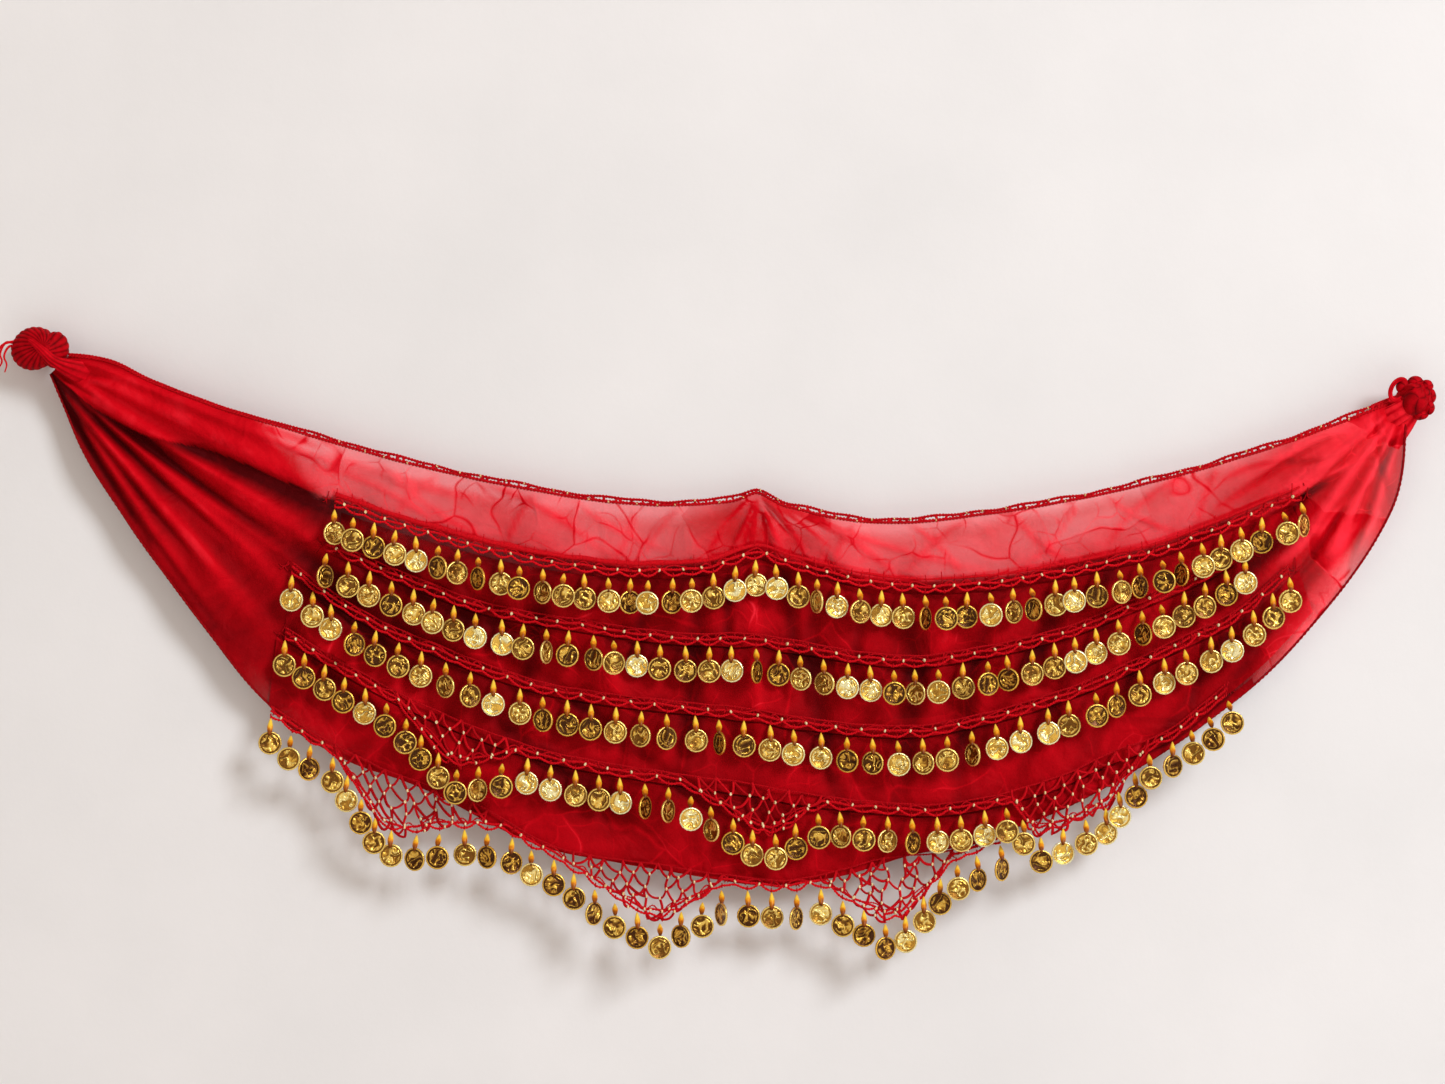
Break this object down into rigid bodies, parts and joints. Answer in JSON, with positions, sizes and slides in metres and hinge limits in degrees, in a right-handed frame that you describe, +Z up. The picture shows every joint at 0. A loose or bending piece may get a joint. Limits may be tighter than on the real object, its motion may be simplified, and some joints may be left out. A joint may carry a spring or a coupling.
{
  "type": "belly dance belt hung on wall pins",
  "caption": "Crescent chiffon hip scarf hung by its two knotted ends, with crochet rows of teardrop beads and coins across the front and along the hem.",
  "frame": {"origin": "centre of the left pin's flat wall end, where the left knot is held", "axes": "+X right along the wall towards the right knot, +Z up, +Y into the wall; the front faces -Y"},
  "size_m": [1.0818, 0.0568, 0.4707],
  "materials": {
    "chiffon": "sheer matt chiffon",
    "chiffon_double": "two layers of chiffon, soft sheen",
    "crochet_cord": "matt yarn",
    "coin_metal": "embossed, worn bright on the relief",
    "bead_glass": "clear amber, glossy",
    "pin_steel": "plain"
  },
  "bodies": {
    "root": {"coin_row_1": "coin_metal", "coin_row_2": "coin_metal", "coin_row_3": "coin_metal", "coin_row_4": "coin_metal", "coin_row_hem": "coin_metal", "ground_cloth": "chiffon", "left_knot": "chiffon", "left_wall_pin": "pin_steel", "net_thread_a": "crochet_cord", "net_thread_b": "crochet_cord", "net_thread_c": "crochet_cord", "net_thread_d": "crochet_cord", "net_thread_e": "crochet_cord", "net_thread_f": "crochet_cord", "right_knot": "chiffon", "right_wall_pin": "pin_steel", "tier_1": "chiffon_double", "tier_2": "chiffon_double", "tier_3": "chiffon_double", "tier_4": "chiffon_double", "waist_edging": "crochet_cord"}
  },
  "joints": []
}
